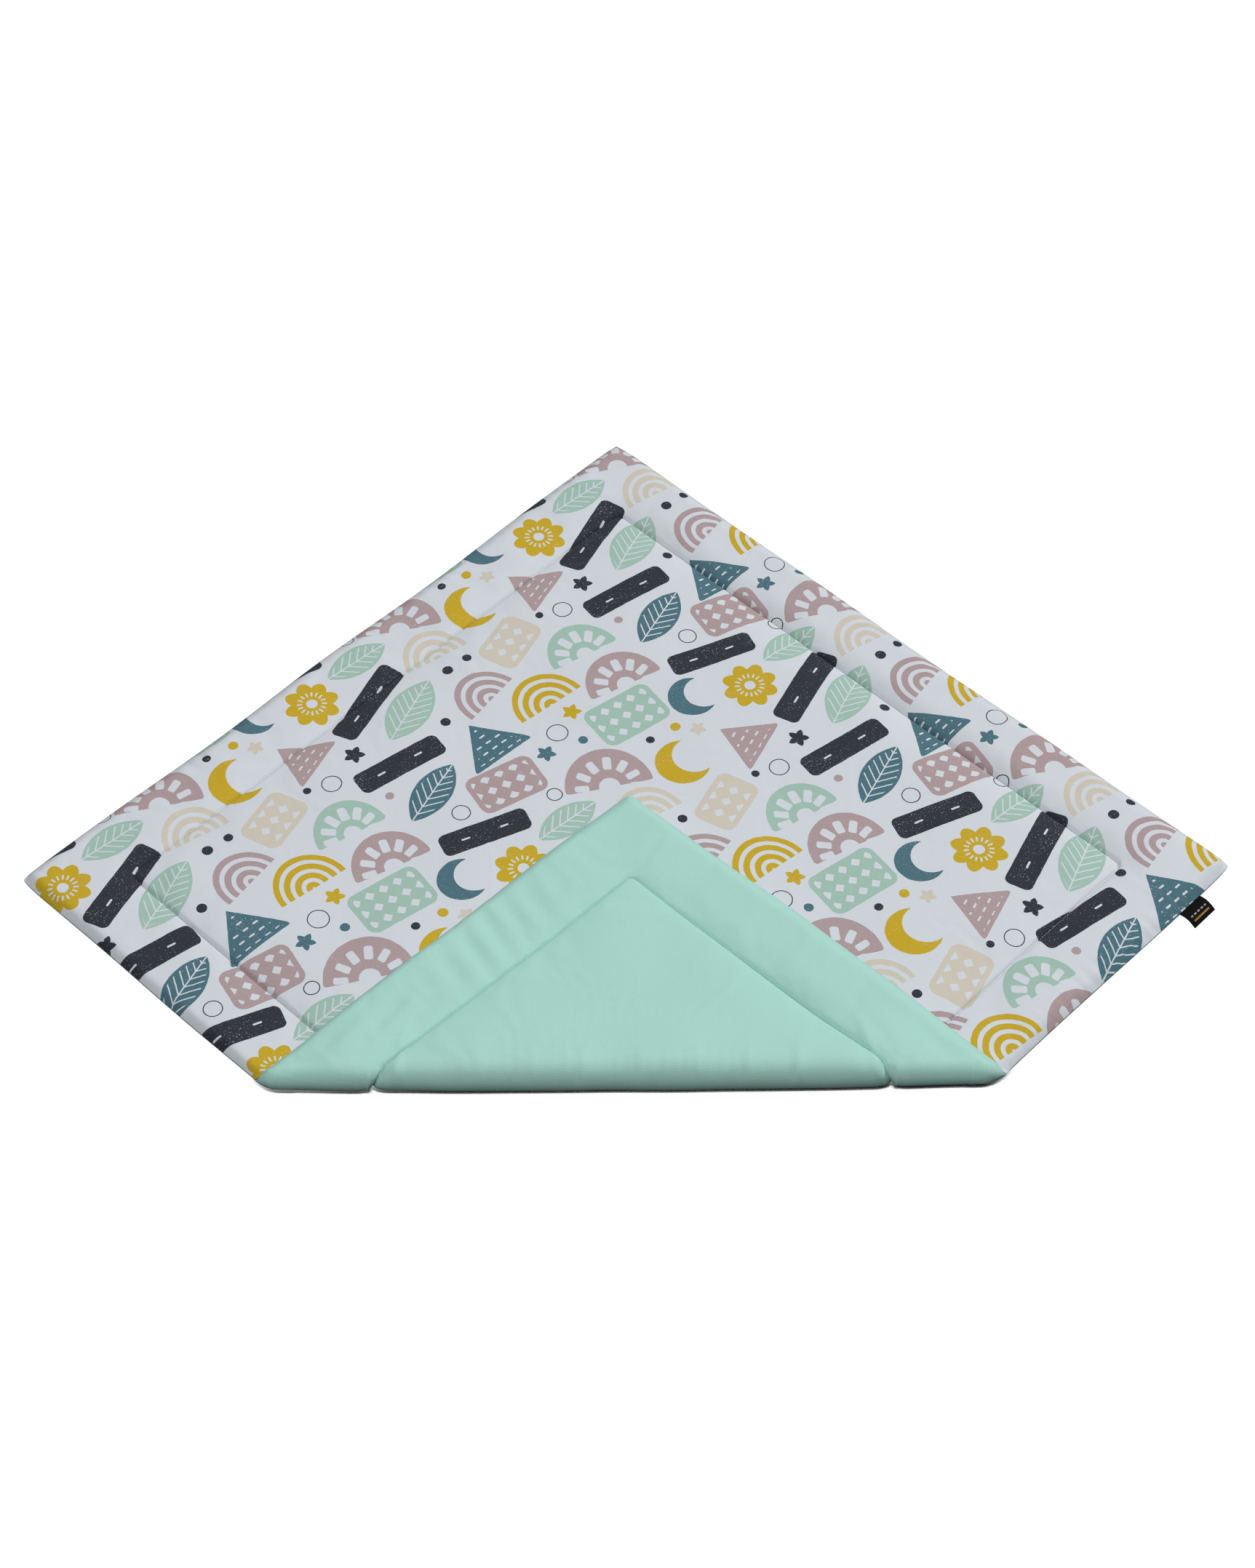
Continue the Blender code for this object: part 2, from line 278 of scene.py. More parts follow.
def place(x, y, share):
    # flat cloth to the lying mat: share 0 is the printed face, 1 the plain face, as in the solids
    top = padTop(x, y)
    thickness = top - padBottom(x, y)
    along, past = foldCoordinates(x, y)
    arc = foldArc(along)
    shiftX, shiftY = sideShift(x, y)
    turned = np.clip(past / arc, 0.0, 1.0)
    across = shiftX * pastFold[0] + shiftY * pastFold[1]
    shiftX = shiftX - 2.0 * turned * across * pastFold[0]
    shiftY = shiftY - 2.0 * turned * across * pastFold[1]
    beyond = np.maximum(past - arc, 0.0)
    flapHeight = flapInner(along, beyond)
    firstX, firstY = fromFold(along, 0.0 * along)
    start = padTop(firstX, firstY)
    end = flapInner(along, 0.0 * along)
    radius = (end - start) / 2 + share * thickness
    angle = math.pi * turned
    bentX, bentY = fromFold(along, radius * np.sin(angle))
    flapX, flapY = fromFold(along, arc - past)
    lies = past <= 0.0
    flaps = past >= arc
    placeX = np.where(lies, x, np.where(flaps, flapX, bentX)) + shiftX
    placeY = np.where(lies, y, np.where(flaps, flapY, bentY)) + shiftY
    bentZ = (end + start) / 2 - radius * np.cos(angle)
    placeZ = np.where(lies, top - share * thickness, np.where(flaps, flapHeight + share * thickness, bentZ))
    return np.stack([placeX, placeY, placeZ], axis=-1)


def placeOne(x, y, share):
    return Vector(place(np.array([x]), np.array([y]), np.array([share]))[0])


# Cloth lines: close together where the cloth is sewn

clothGrid = {
    "borderCells": 30,
    "riseDepth": 0.050,
    "riseCells": 14,
    "middleCells": 174,
}


def mirroredLines(near, cells):
    middle = np.linspace(near[-1], -near[-1], cells + 1)[1:-1]
    return np.concatenate([near, middle, -near[::-1]])


def clothLines():
    border = np.linspace(0.0, math.pi, clothGrid["borderCells"] + 1)
    border = mat["seamInset"] * (1.0 - np.cos(border)) / 2
    beside = np.linspace(0.0, math.pi / 2, clothGrid["riseCells"] + 1)[1:]
    beside = mat["seamInset"] + clothGrid["riseDepth"] * (1.0 - np.cos(beside))
    return mirroredLines(np.concatenate([border, beside]) - half, clothGrid["middleCells"])


def spreadGrid(bm, lines):
    cells = len(lines) - 1
    bmesh.ops.create_grid(bm, x_segments=cells, y_segments=cells, size=half)
    for vert in bm.verts:
        column = round((vert.co.x / half + 1.0) / 2 * cells)
        row = round((vert.co.y / half + 1.0) / 2 * cells)
        vert.co = (lines[column], lines[row], 0.0)


def pointsOf(mesh):
    points = np.zeros(len(mesh.vertices) * 3)
    mesh.vertices.foreach_get("co", points)
    return points.reshape(-1, 3)


def addObject(name, bm):
    mesh = bpy.data.meshes.new(name)
    bm.to_mesh(mesh)
    bm.free()
    thing = bpy.data.objects.new(name, mesh)
    bpy.context.scene.collection.objects.link(thing)
    return thing


# Puckers: the cloth is a little longer than its sewn lines, so it bunches beside them

pucker = {
    "borderCells": 14,
    "riseDepth": 0.060,
    "riseCells": 8,
    "middleCells": 86,
    "holdAtSeam": 0.10,
    "holdInMiddle": 0.72,
    "holdReach": 0.075,
    "holdUneven": 0.35,
    "unevenWaves": rowsOf("rate sway swayRate", (41.0, 1.7, 23.0), (37.0, 1.3, 29.0)),
    "sewn": 0.0005,
    "frames": 16,
    "strength": 0.24,
    "cap": 0.0020,
}
puckerCloth = {
    "quality": 5,
    "mass": 0.2,
    "tension_stiffness": 15.0,
    "compression_stiffness": 15.0,
    "shear_stiffness": 5.0,
    "bending_stiffness": 3.0,
    "vertex_group_mass": "hold",
    "pin_stiffness": 1.0,
    "shrink_min": -0.012,
    "use_pressure": True,
    "uniform_pressure_force": 1.0,
}


def puckerLines():
    inset = mat["seamInset"]
    border = np.linspace(0.0, inset, pucker["borderCells"] + 1)
    beside = np.linspace(inset, inset + pucker["riseDepth"], pucker["riseCells"] + 1)[1:]
    return mirroredLines(np.concatenate([border, beside]) - half, pucker["middleCells"])


def simulatePuckers(lines):
    bm = bmesh.new()
    spreadGrid(bm, lines)
    sheet = addObject("puckerSheet", bm)
    flat = pointsOf(sheet.data)
    flat[:, 2] = padTop(flat[:, 0], flat[:, 1])
    sheet.data.vertices.foreach_set("co", flat.ravel())
    edge = edgeDistance(flat[:, 0], flat[:, 1])
    nearest = np.minimum(edge, np.abs(seamDistance(flat[:, 0], flat[:, 1])))
    rise = np.clip(nearest / pucker["holdReach"], 0.0, 1.0) ** 2
    hold = pucker["holdAtSeam"] + (pucker["holdInMiddle"] - pucker["holdAtSeam"]) * rise
    uneven = 1.0
    for wave, run, across in zip(pucker["unevenWaves"], (0, 1), (1, 0)):
        sway = wave["sway"] * np.sin(flat[:, across] * wave["swayRate"])
        uneven = uneven * np.sin(flat[:, run] * wave["rate"] + sway)
    hold = np.clip(hold * (1.0 + pucker["holdUneven"] * uneven), 0.0, 1.0)
    hold[nearest < pucker["sewn"]] = 1.0
    group = sheet.vertex_groups.new(name="hold")
    for index, weight in enumerate(hold):
        group.add([index], float(weight), "REPLACE")
    cloth = sheet.modifiers.new("Cloth", "CLOTH")
    for name, value in puckerCloth.items():
        setattr(cloth.settings, name, value)
    cloth.settings.effector_weights.gravity = 0.0
    cloth.collision_settings.use_collision = False
    cloth.collision_settings.use_self_collision = False
    scene = bpy.context.scene
    for step in range(1, pucker["frames"] + 1):
        scene.frame_set(step)
    settled = sheet.evaluated_get(bpy.context.evaluated_depsgraph_get())
    moved = pointsOf(settled.data) - flat
    scene.frame_set(1)
    bpy.data.objects.remove(sheet)
    order = np.lexsort((flat[:, 0].round(5), flat[:, 1].round(5)))
    moved = np.clip(moved * pucker["strength"], -pucker["cap"], pucker["cap"])
    return moved[order].reshape(len(lines), len(lines), 3)


def curveWeights(t):
    # how much each of four neighbours counts between the middle two
    return [
        -0.5 * t + t ** 2 - 0.5 * t ** 3,
        1.0 - 2.5 * t ** 2 + 1.5 * t ** 3,
        0.5 * t + 2.0 * t ** 2 - 1.5 * t ** 3,
        -0.5 * t ** 2 + 0.5 * t ** 3,
    ]


def readField(lines, field, x, y):
    last = len(lines) - 1
    column = np.clip(np.searchsorted(lines, x) - 1, 0, last - 1)
    row = np.clip(np.searchsorted(lines, y) - 1, 0, last - 1)
    across = curveWeights((x - lines[column]) / (lines[column + 1] - lines[column]))
    up = curveWeights((y - lines[row]) / (lines[row + 1] - lines[row]))
    total = np.zeros((len(x), 3))
    for j in range(4):
        for i in range(4):
            corner = field[np.clip(row + j - 1, 0, last), np.clip(column + i - 1, 0, last)]
            total += corner * (across[i] * up[j])[:, None]
    return total


fineLines = clothLines()
simLines = puckerLines()
puff = simulatePuckers(simLines)
print("puckers: simulated, deepest %.1f mm" % (np.abs(puff).max() * 1000))


# Gathers where the cloth turns in at the mat's edge, a row for each side

edgeGathers = {
    "left": {"depth": 0.0005, "length": 0.021, "start": 0.4},
    "right": {"depth": 0.0012, "length": 0.019, "start": 2.1},
    "front": {"depth": 0.0026, "length": 0.017, "start": 1.1},
    "back": {"depth": 0.0014, "length": 0.023, "start": 3.0},
}
gatherReach = 0.009
gatherWander = {"far": 0.9, "farRate": 53.0, "near": 0.6, "nearRate": 97.0, "swell": 0.4, "swellRate": 17.0}


def gatherDepth(x, y):
    # dips that run in from the edge, deepest a little inside it, with none on the flap
    sides = sideDistances(x, y)
    total = np.zeros_like(x)
    for name, row in edgeGathers.items():
        distance, run = sides[name], x if name in ("front", "back") else y
        wander = gatherWander["far"] * np.sin(run * gatherWander["farRate"] + row["start"])
        wander = wander + gatherWander["near"] * np.sin(run * gatherWander["nearRate"])
        ripple = 0.5 - 0.5 * np.cos(math.tau * run / row["length"] + row["start"] + wander)
        swell = np.sin(run * gatherWander["swellRate"] + 2.0 * row["start"])
        swell = 1.0 - gatherWander["swell"] * (1.0 - swell)
        inside = np.maximum(distance, 0.0) / gatherReach
        total = total + row["depth"] * ripple * swell * inside * np.exp(1.0 - inside)
    return total * (1.0 - ease(foldCoordinates(x, y)[1] / gatherReach))


# Broad ripples across the flap's border, along the left side

flapRipples = {
    "height": 0.0014,
    "length": 0.041,
    "slant": -0.21,
    "start": -0.45,
    "end": -0.05,
    "fades": 0.09,
    "middle": 0.052,
    "spread": 0.042,
    "wander": 0.9,
    "wanderRate": 23.0,
    "swell": 0.3,
    "swellRate": 19.0,
}


def rippleHeight(x, y):
    row = flapRipples
    run = y + row["slant"] * (x + half)
    wave = np.cos(math.tau * run / row["length"] + row["wander"] * np.sin(run * row["wanderRate"]))
    swell = ease((y - row["start"]) / row["fades"]) * ease((row["end"] - y) / row["fades"])
    swell = swell * (1.0 - row["swell"] * (1.0 - np.sin(run * row["swellRate"])))
    return row["height"] * wave * swell * np.exp(-((x + half - row["middle"]) / row["spread"]) ** 2)


# Creases, a row for each, where the folded corner's cloth is pushed together

creases = rowsOf(
    "along past turn length width height",
    (-0.335, 0.075, 52, 0.060, 0.0100, 0.0016),
    (-0.305, 0.085, 58, 0.055, 0.0090, -0.0013),
    (-0.275, 0.105, 50, 0.050, 0.0110, 0.0012),
    (-0.245, 0.120, 46, 0.045, 0.0090, -0.0010),
    (-0.285, 0.035, 80, 0.040, 0.0070, 0.0022),
    (0.290, 0.030, -75, 0.040, 0.0065, 0.0020),
    (0.300, 0.060, -60, 0.050, 0.0090, -0.0014),
    (0.395, 0.034, -48, 0.040, 0.0090, 0.0009),
    (0.375, 0.031, -54, 0.036, 0.0080, -0.0008),
    (-0.190, 0.030, 90, 0.022, 0.0110, 0.0012),
    (-0.125, 0.028, 84, 0.020, 0.0120, 0.0011),
    (-0.060, 0.030, 95, 0.022, 0.0110, 0.0010),
    (0.010, 0.029, 88, 0.020, 0.0120, 0.0012),
    (0.075, 0.030, 92, 0.022, 0.0110, 0.0010),
    (0.140, 0.028, 86, 0.020, 0.0120, 0.0012),
    (0.200, 0.030, 94, 0.022, 0.0100, 0.0011),
)


def creaseHeight(x, y):
    along, past = foldCoordinates(x, y)
    total = np.zeros_like(x)
    for row in creases:
        angle = math.radians(row["turn"])
        da, dp = along - row["along"], past - row["past"]
        run = da * math.cos(angle) + dp * math.sin(angle)
        off = dp * math.cos(angle) - da * math.sin(angle)
        ridge = np.exp(-(off / row["width"]) ** 2) * np.exp(-(run / row["length"]) ** 2)
        total = total + row["height"] * ridge
    return total


def clothPoint(flat, share, outerShare):
    # one panel's points, with the puckers on its outer face and none on the floor
    x, y = flat[:, 0], flat[:, 1]
    bump = readField(simLines, puff, x, y)
    outer = np.abs(share - outerShare) < sameFace
    thickness = padTop(x, y) - padBottom(x, y)
    past = foldCoordinates(x, y)[1]
    onFloor = 1.0 - ease((past - fold["liftsOff"]) / fold["liftsOff"]) if outerShare > 0.5 else 0.0
    shown = np.where(outer, 1.0 - onFloor, 0.0)
    raised = (bump[:, 2] + creaseHeight(x, y) + rippleHeight(x, y) - gatherDepth(x, y)) * shown
    outward = 1.0 if outerShare > 0.5 else -1.0
    points = place(x + bump[:, 0] * shown, y + bump[:, 1] * shown, share + outward * raised / thickness)
    points[:, 2] = np.maximum(points[:, 2], 0.0)
    return points


def refine(bm, verts, band):
    # closer cloth lines in a band given by its distance past the fold line
    start, end = band["start"], band["end"]
    chosen = {vert for vert in verts if start < foldCoordinates(vert.co.x, vert.co.y)[1] < end}
    edges = [edge for edge in bm.edges if edge.verts[0] in chosen and edge.verts[1] in chosen]
    return bmesh.ops.subdivide_edges(bm, edges=edges, cuts=band["cuts"], use_grid_fill=True)


def vertsIn(items):
    return [item for item in items if isinstance(item, bmesh.types.BMVert)]


def buildPanel(name, outerShare, bands):
    gapShare = mat["panelGap"] / 2
    bm = bmesh.new()
    spreadGrid(bm, fineLines[::2])
    outer = bm.verts[:]
    grown = bmesh.ops.extrude_face_region(bm, geom=bm.faces[:], use_keep_orig=True)
    inner = vertsIn(grown["geom"])
    for vert in outer:
        vert.co.z = outerShare
    for vert in inner:
        vert.co.z = 0.5
    for band in bands:
        refine(bm, [vert for vert in bm.verts if abs(vert.co.z - outerShare) < sameFace], band)
    bmesh.ops.recalc_face_normals(bm, faces=bm.faces[:])
    uvLayer = bm.loops.layers.uv.new("cloth")
    for face in bm.faces:
        for loop in face.loops:
            loop[uvLayer].uv = loop.vert.co.xy
    panel = addObject(name, bm)
    flat = pointsOf(panel.data)
    share = flat[:, 2].copy()
    thickness = padTop(flat[:, 0], flat[:, 1]) - padBottom(flat[:, 0], flat[:, 1])
    towardOuter = 1.0 if outerShare > 0.5 else -1.0
    share = np.where(np.abs(share - 0.5) < sameFace, 0.5 + towardOuter * gapShare / thickness, share)
    panel.data.vertices.foreach_set("co", clothPoint(flat, share, outerShare).ravel())
    panel.data.shade_smooth()
    panel.data.update()
    print(name, len(panel.data.polygons), "faces")
    return panel


printedBands = [{"start": -2.0, "end": 0.020, "cuts": 1}]
plainBands = [{"start": -0.015, "end": 2.0, "cuts": 2}, {"start": -0.004, "end": 0.045, "cuts": 1}]
printedPanel = buildPanel("printedPanel", 0.0, printedBands)
plainPanel = buildPanel("plainPanel", 1.0, plainBands)


# Seam thread, one small stitch after another round the sewn square, on both faces

thread = {
    "stitchLength": 0.0034,
    "pitch": 0.0042,
    "radius": 0.00035,
    "raised": 0.02,
}


def addStitch(bm, start, end, radius):
    made = bmesh.ops.create_icosphere(bm, subdivisions=1, radius=1.0)
    direction = end - start
    turn = direction.to_track_quat("X", "Z").to_matrix().to_4x4()
    size = Matrix.Diagonal((direction.length / 2, radius, radius, 1.0))
    middle = Matrix.Translation((start + end) / 2)
    bmesh.ops.transform(bm, matrix=middle @ turn @ size, verts=made["verts"])


def onSeam(point):
    # a point of the seam's square, moved onto its rounded corner
    bend = mat["cornerRound"]
    centre = half - mat["seamInset"] - bend
    if min(abs(point.x), abs(point.y)) <= centre:
        return point
    middle = Vector((math.copysign(centre, point.x), math.copysign(centre, point.y)))
    return middle + (point - middle).normalized() * bend


def buildThread(name, share):
    reach = half - mat["seamInset"]
    corners = [Vector((x * reach, y * reach)) for x, y in ((-1, -1), (1, -1), (1, 1), (-1, 1))]
    bm = bmesh.new()
    stitches = round(2 * reach / thread["pitch"])
    for side in range(4):
        first, last = corners[side], corners[(side + 1) % 4]
        step = (last - first) / stitches
        for count in range(stitches):
            start = first + step * (count + 0.1)
            end = start + step * (thread["stitchLength"] / thread["pitch"])
            ends = [placeOne(*onSeam(point), share) for point in (start, end)]
            addStitch(bm, *ends, thread["radius"])
    stitching = addObject(name, bm)
    stitching.data.shade_smooth()
    return stitching


printedThread = buildThread("printedThread", -thread["raised"])
plainThread = buildThread("plainThread", 1.0 - thread["raised"])
print("seam thread:", len(printedThread.data.polygons), "faces a side")

# Side tag, a woven ribbon folded in two

tag = {
    "ply": 0.0008,
    "plyGap": 0.0006,
    "arch": 0.0020,
    "drop": 0.0052,
    "rootHeight": 0.0070,
    "steps": 22,
    "turnSteps": 8,
    "acrossCells": 24,
    "softEdge": 0.0002,
}


def tagCentre(reach):
    return tag["rootHeight"] + tag["arch"] * math.sin(math.pi * reach) - tag["drop"] * reach ** 2


def tagPath():
    # the ribbon's middle line as (reach, height), out along its upper ply and back
    offset = (tag["plyGap"] + tag["ply"]) / 2
    straight = tagHigh.y - tagLow.y - tag["plyGap"] / 2 - tag["ply"]
    shares = [step / tag["steps"] for step in range(tag["steps"] + 1)]
    path = [(share * straight, tagCentre(share) + offset) for share in shares]
    for step in range(1, tag["turnSteps"]):
        angle = math.pi / 2 - math.pi * step / tag["turnSteps"]
        path.append((straight + offset * math.cos(angle), tagCentre(1.0) + offset * math.sin(angle)))
    return path + [(share * straight, tagCentre(share) - offset) for share in reversed(shares)]


def buildTag():
    path = tagPath()
    bm = bmesh.new()
    verts = [bm.verts.new((tagLow.x, tagHigh.y - reach, height)) for reach, height in path]
    spine = [bm.edges.new(pair) for pair in zip(verts, verts[1:])]
    width = tagHigh.x - tagLow.x
    front = spine
    for cell in range(tag["acrossCells"]):
        grown = bmesh.ops.extrude_edge_only(bm, edges=front)
        moved = vertsIn(grown["geom"])
        bmesh.ops.translate(bm, verts=moved, vec=(width / tag["acrossCells"], 0.0, 0.0))
        front = [item for item in grown["geom"] if isinstance(item, bmesh.types.BMEdge)
                 and all(vert in moved for vert in item.verts)]
    bmesh.ops.recalc_face_normals(bm, faces=bm.faces[:])
    uvLayer = bm.loops.layers.uv.new("cloth")
    for face in bm.faces:
        for loop in face.loops:
            loop[uvLayer].uv = (loop.vert.co.x - tagLow.x, loop.vert.co.y - tagLow.y)
    ribbon = addObject("sideTag", bm)
    thicken = ribbon.modifiers.new("Solidify", "SOLIDIFY")
    thicken.thickness = tag["ply"]
    thicken.offset = 0.0
    soften = ribbon.modifiers.new("Bevel", "BEVEL")
    soften.width = tag["softEdge"]
    soften.segments = 2
    ribbon.data.shade_smooth()
    return ribbon


sideTag = buildTag()
print("side tag: built")

# Materials


def feed(socket, value):
    if isinstance(value, bpy.types.NodeSocket):
        socket.id_data.links.new(value, socket)
    else:
        socket.default_value = value


def addNode(tree, kind, inputs=None, **settings):
    made = tree.nodes.new(kind)
    for name, value in settings.items():
        setattr(made, name, value)
    for key, value in (inputs or {}).items():
        feed(made.inputs[key], value)
    return made


def calculate(operation, *values, kind="Math", **settings):
    # the node goes into the tree of the first value that is a socket
    tree = next(value.id_data for value in values if isinstance(value, bpy.types.NodeSocket))
    inputs = dict(enumerate(values))
    return addNode(tree, "ShaderNode" + kind, inputs, operation=operation, **settings).outputs[0]


# Short names for the sums that the materials use most
plus, minus = partial(calculate, "ADD"), partial(calculate, "SUBTRACT")
times, over = partial(calculate, "MULTIPLY"), partial(calculate, "DIVIDE")
sizeOf, blend = partial(calculate, "ABSOLUTE"), partial(calculate, "MULTIPLY_ADD")
most, least = partial(calculate, "MAXIMUM"), partial(calculate, "MINIMUM")
calculateVector = partial(calculate, kind="VectorMath")


def scaledBy(vector, amount):
    tree = (vector if isinstance(vector, bpy.types.NodeSocket) else amount).id_data
    return addNode(tree, "ShaderNodeVectorMath", {0: vector, 3: amount}, operation="SCALE").outputs[0]


def noise(point, scale, detail, roughness=0.5):
    inputs = {"Vector": point, "Scale": scale, "Detail": detail, "Roughness": roughness}
    return addNode(point.id_data, "ShaderNodeTexNoise", inputs).outputs


def newGroup(name, inputs, outputs):
    group = bpy.data.node_groups.new(name, "ShaderNodeTree")
    for socketName, kind, value in inputs:
        socket = group.interface.new_socket(socketName, in_out="INPUT", socket_type="NodeSocket" + kind)
        if value is not None:
            socket.default_value = value
    for socketName, kind in outputs:
        group.interface.new_socket(socketName, in_out="OUTPUT", socket_type="NodeSocket" + kind)
    given = group.nodes.new("NodeGroupInput").outputs
    result = group.nodes.new("NodeGroupOutput").inputs
    return group, given, result


def placeGroup(tree, group, inputs):
    return addNode(tree, "ShaderNodeGroup", inputs, node_tree=group).outputs


def splitVector(vector):
    return addNode(vector.id_data, "ShaderNodeSeparateXYZ", {0: vector}).outputs


def mixColour(factor, under, upper):
    inputs = {0: factor, 6: under, 7: upper}
    return addNode(factor.id_data, "ShaderNodeMix", inputs, data_type="RGBA").outputs[2]


def setShader(shader, values):
    for name, value in values.items():
        feed(shader.inputs[name], value)


weaving = {
    "slub": {"scale": 420.0, "detail": 3.0, "roughness": 0.6},
    "slubDrift": 0.0006,
    "fuzz": {"scale": 900.0, "detail": 2.0},
    "mottle": {"scale": 330.0, "detail": 4.0, "roughness": 0.7},
    "threadHeight": 0.6,
    "fuzzHeight": 0.4,
}
handling = {
    "noise": {"scale": 6.0, "detail": 3.0, "roughness": 0.55},
    "roughness": 0.78,
    "roughnessChange": 0.14,
}


def makeWeaveGroup():
    # a plain weave: threads over and under, with slubs, from a flat cloth coordinate in metres
    group, given, result = newGroup(
        "clothWeave",
        [("Point", "Vector", None), ("Threads per metre", "Float", 1100.0), ("Slub", "Float", 0.5)],
        [("Height", "Float"), ("Tone", "Float")],
    )
    slubs = noise(given[0], **weaving["slub"])
    drift = times(minus(slubs[0], 0.5), weaving["slubDrift"])
    x, y, _ = splitVector(given[0])
    across = times(plus(x, drift), given[1])
    along = times(plus(y, drift), given[1])
    warp = calculate("SINE", times(across, math.pi))
    weft = calculate("SINE", times(along, math.pi))
    woven = times(warp, weft)
    high = blend(woven, 0.5, 0.5)
    fuzz = noise(given[0], **weaving["fuzz"])
    slub = times(slubs[0], given[2])
    total = plus(times(high, weaving["threadHeight"]), slub)
    feed(result[0], blend(fuzz[0], weaving["fuzzHeight"], total))
    mottled = noise(given[0], **weaving["mottle"])
    feed(result[1], mottled[0])
    return group


def makeHandlingGroup():
    # slow change of tone where the cloth has been handled and washed
    group, given, result = newGroup(
        "clothHandling",
        [("Point", "Vector", None), ("Colour", "Color", None), ("Weave tone", "Float", 0.5),
         ("Grain", "Float", 0.06), ("Patches", "Float", 0.04)],
        [("Colour", "Color"), ("Roughness", "Float")],
    )
    broad = noise(given[0], **handling["noise"])
    patches = times(minus(broad[0], 0.5), given[4])
    grain = times(minus(given[2], 0.5), given[3])
    change = plus(plus(patches, grain), 1.0)
    feed(result[0], scaledBy(given[1], change))
    feed(result[1], blend(broad[0], handling["roughnessChange"], handling["roughness"], use_clamp=True))
    return group


weaveGroup = makeWeaveGroup()
handlingGroup = makeHandlingGroup()


def linear(*channels):
    # a screen colour in light values
    values = np.array(channels) / 255.0
    light = np.where(values <= 0.04045, values / 12.92, ((values + 0.055) / 1.055) ** 2.4)
    return light.tolist() + [1.0]


inks = {
    "ground": linear(208, 214, 220),
    "pink": linear(172, 152, 154),
    "mint": linear(160, 190, 178),
    "charcoal": linear(50, 53, 61),
    "mustard": linear(196, 165, 40),
    "teal": linear(76, 112, 124),
    "beige": linear(204, 197, 183),
}
plainMint = linear(169, 214, 203)


# Print: a generic nursery repeat of hills, leaves, bars, moons and small marks

printTile = {
    "width": 0.430,
    "height": 0.400,
    "gap": 0.009,
    "markGap": 0.0055,
    "seed": 24,
    "rounds": 500,
    "push": 0.25,
    "twist": 40.0,
    "mostTwist": 0.03,
    "beads": 1.6,
    "spotStep": 0.003,
    "markTurn": 0.3,
    "tilt": 22.0,
    "mostTilt": 32.0,
    "wobble": 0.0011,
    "edgeBlur": 0.00045,
}
brush = {
    "wobble": {"scale": 95.0, "detail": 2.0},
    "flecks": {"scale": 480.0, "detail": 3.0, "roughness": 0.7},
    "worn": {"scale": 26.0, "detail": 2.0},
    "wornLevel": 0.55,
    "wornChange": 0.16,
    "sharpness": 22.0,
    "strength": 0.8,
}

# Large motifs, a row for each
motifs = rowsOf(
    "shape width height ink",
    ("hill", 0.118, 0.066, "pink"),
    ("hill", 0.108, 0.060, "pink"),
    ("hill", 0.100, 0.058, "mint"),
    ("bar", 0.140, 0.038, "charcoal"),
    ("bar", 0.130, 0.036, "charcoal"),
    ("bar", 0.122, 0.036, "charcoal"),
    ("leaf", 0.118, 0.058, "mint"),
    ("leaf", 0.108, 0.050, "teal"),
    ("leaf", 0.098, 0.046, "mint"),
    ("moon", 0.074, 0.074, "mustard"),
    ("moon", 0.066, 0.066, "teal"),
    ("flower", 0.076, 0.076, "mustard"),
    ("peak", 0.100, 0.072, "teal"),
    ("peak", 0.092, 0.066, "pink"),
    ("tile", 0.104, 0.070, "mint"),
    ("tile", 0.098, 0.066, "pink"),
    ("tile", 0.086, 0.060, "beige"),
    ("arches", 0.100, 0.058, "mustard"),
    ("arches", 0.092, 0.054, "beige"),
    ("arches", 0.090, 0.054, "pink"),
)

# Small marks for the spaces left between, the widest space first
marks = rowsOf(
    "shape most ink",
    ("ring", 0.028, "charcoal"),
    ("star", 0.030, "charcoal"),
    ("ring", 0.026, "charcoal"),
    ("star", 0.028, "mustard"),
    ("dot", 0.015, "charcoal"),
    ("star", 0.028, "teal"),
    ("ring", 0.024, "charcoal"),
    ("dot", 0.014, "mustard"),
    ("dot", 0.014, "charcoal"),
    ("star", 0.024, "beige"),
    ("dot", 0.013, "charcoal"),
    ("ring", 0.020, "charcoal"),
    ("dot", 0.013, "teal"),
    ("dot", 0.012, "charcoal"),
    ("dot", 0.012, "pink"),
    ("dot", 0.011, "charcoal"),
)
tileSize = np.array([printTile["width"], printTile["height"]])


def wrapped(offset):
    # the shorter way round the repeat
    return offset - tileSize * np.round(offset / tileSize)


def motifBeads(places, turns):
    # each motif stands for a short row of circles along its length
    points, radii, owners = [], [], []
    for index, row in enumerate(motifs):
        radius = row["height"] / 2
        count = max(round(row["width"] / row["height"] * printTile["beads"]), 1)
        span = row["width"] / 2 - radius if count > 1 else 0.0
        for step in np.linspace(-span, span, count):
            points.append(places[index] + step * np.array([math.cos(turns[index]), math.sin(turns[index])]))
            radii.append(radius)
            owners.append(index)
    return np.array(points), np.array(radii), np.array(owners)


